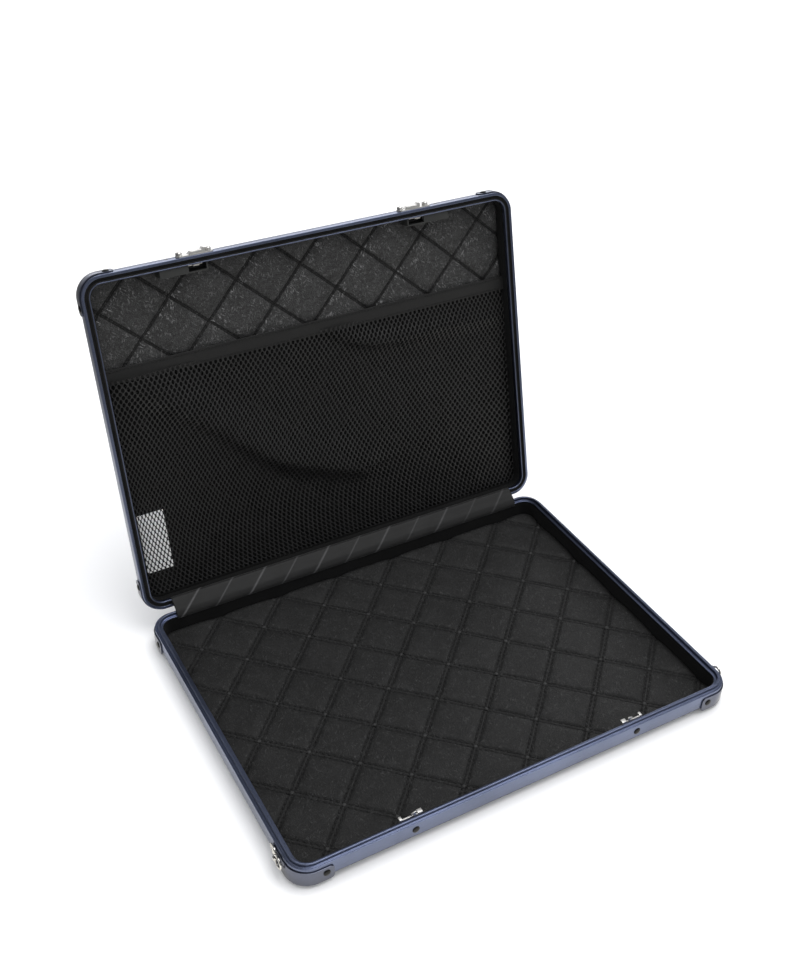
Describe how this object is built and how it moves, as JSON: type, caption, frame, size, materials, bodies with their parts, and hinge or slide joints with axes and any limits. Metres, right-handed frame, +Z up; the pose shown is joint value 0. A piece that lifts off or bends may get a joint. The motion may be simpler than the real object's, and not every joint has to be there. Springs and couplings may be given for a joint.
{
  "type": "laptop hard case",
  "caption": "Thin hinged hard case for a laptop, with metal-framed trays, corner guards, sliding latches, quilted lining and a net pocket.",
  "frame": {"origin": "centre of the case's plan, on the flat underside that it rests on", "axes": "+X along the hinge to the right as seen from the front, +Y from the front to the hinge, +Z up; the lid stands open"},
  "size_m": [0.4004, 0.3859, 0.3083],
  "materials": {
    "frame_aluminium": "satin anodised",
    "panel_plastic": "fine pebble grain",
    "liner_board": "black flocked board",
    "lining_leatherette": "crinkled, quilted in diamonds",
    "guard_steel": "bright, brushed faintly",
    "strike_steel": "bright plated",
    "lug_steel": "bright plated",
    "latch_metal": "satin plated",
    "bolt_steel": "bright",
    "housing_plastic": "moulded",
    "rivet_steel": "domed, bright",
    "dark_rivet": "darkened",
    "hinge_steel": "rolled",
    "strip_fabric": "satin weave with pale diagonal lines",
    "net_fabric": "open knitted net",
    "binding_fabric": "woven tape",
    "label_vinyl": "blank white"
  },
  "bodies": {
    "base": {"base_frame": "frame_aluminium", "base_guard_back_left": "guard_steel", "base_guard_back_right": "guard_steel", "base_guard_front_left": "guard_steel", "base_guard_front_right": "guard_steel", "base_guard_rivets": "rivet_steel", "base_lining": "lining_leatherette", "base_panel": "panel_plastic", "base_side_liner": "liner_board", "hinge_leaf_base": "hinge_steel", "hinge_pin": "hinge_steel", "hinge_rivets_base": "rivet_steel", "hinge_strip": "strip_fabric", "strap_lug_left": "lug_steel", "strap_lug_right": "lug_steel", "strap_lug_rivets": "rivet_steel", "strike_left": "strike_steel", "strike_right": "strike_steel", "strike_rivets": "dark_rivet"},
    "lid": {"hinge_leaf_lid": "hinge_steel", "hinge_rivets_lid": "rivet_steel", "housing_rivets": "rivet_steel", "latch_housing_left": "housing_plastic", "latch_housing_right": "housing_plastic", "latch_plate_left": "latch_metal", "latch_plate_right": "latch_metal", "latch_rivets": "rivet_steel", "latch_spring_left": "bolt_steel", "latch_spring_right": "bolt_steel", "lid_frame": "frame_aluminium", "lid_guard_back_left": "guard_steel", "lid_guard_back_right": "guard_steel", "lid_guard_front_left": "guard_steel", "lid_guard_front_right": "guard_steel", "lid_guard_rivets": "rivet_steel", "lid_lining": "lining_leatherette", "lid_panel": "panel_plastic", "lid_side_liner": "liner_board", "mesh_pocket": "net_fabric", "pocket_binding": "binding_fabric", "pocket_label": "label_vinyl"},
    "latch_left": {"latch_button_left": "latch_metal", "latch_bolt_left": "bolt_steel"},
    "latch_right": {"latch_button_right": "latch_metal", "latch_bolt_right": "bolt_steel"},
    "ring_left": {"strap_ring_left": "lug_steel"},
    "ring_right": {"strap_ring_right": "lug_steel"}
  },
  "joints": [
    {"name": "lid_hinge", "type": "hinge", "parent": "base", "child": "lid", "pos_m": [0, 0.148, 0.02015], "axis": [1, 0, 0], "range_deg": [0, 104.5], "deforming": ["hinge_strip"]},
    {"name": "latch_slide_left", "type": "slide", "parent": "lid", "child": "latch_left", "axis": [-1, 0, 0], "range_m": [0, 0.0035], "stiffness_N_per_m": 150, "springref_m": -0.004, "deforming": ["latch_spring_left"]},
    {"name": "latch_slide_right", "type": "slide", "parent": "lid", "child": "latch_right", "axis": [1, 0, 0], "range_m": [0, 0.0035], "stiffness_N_per_m": 150, "springref_m": -0.004, "deforming": ["latch_spring_right"]},
    {"name": "ring_swing_left", "type": "hinge", "parent": "base", "child": "ring_left", "pos_m": [-0.19815, -0.12, 0.0139], "axis": [0, 0, -1], "range_deg": [0, 150]},
    {"name": "ring_swing_right", "type": "hinge", "parent": "base", "child": "ring_right", "pos_m": [0.19815, -0.12, 0.0139], "axis": [0, 0, 1], "range_deg": [0, 150]}
  ]
}
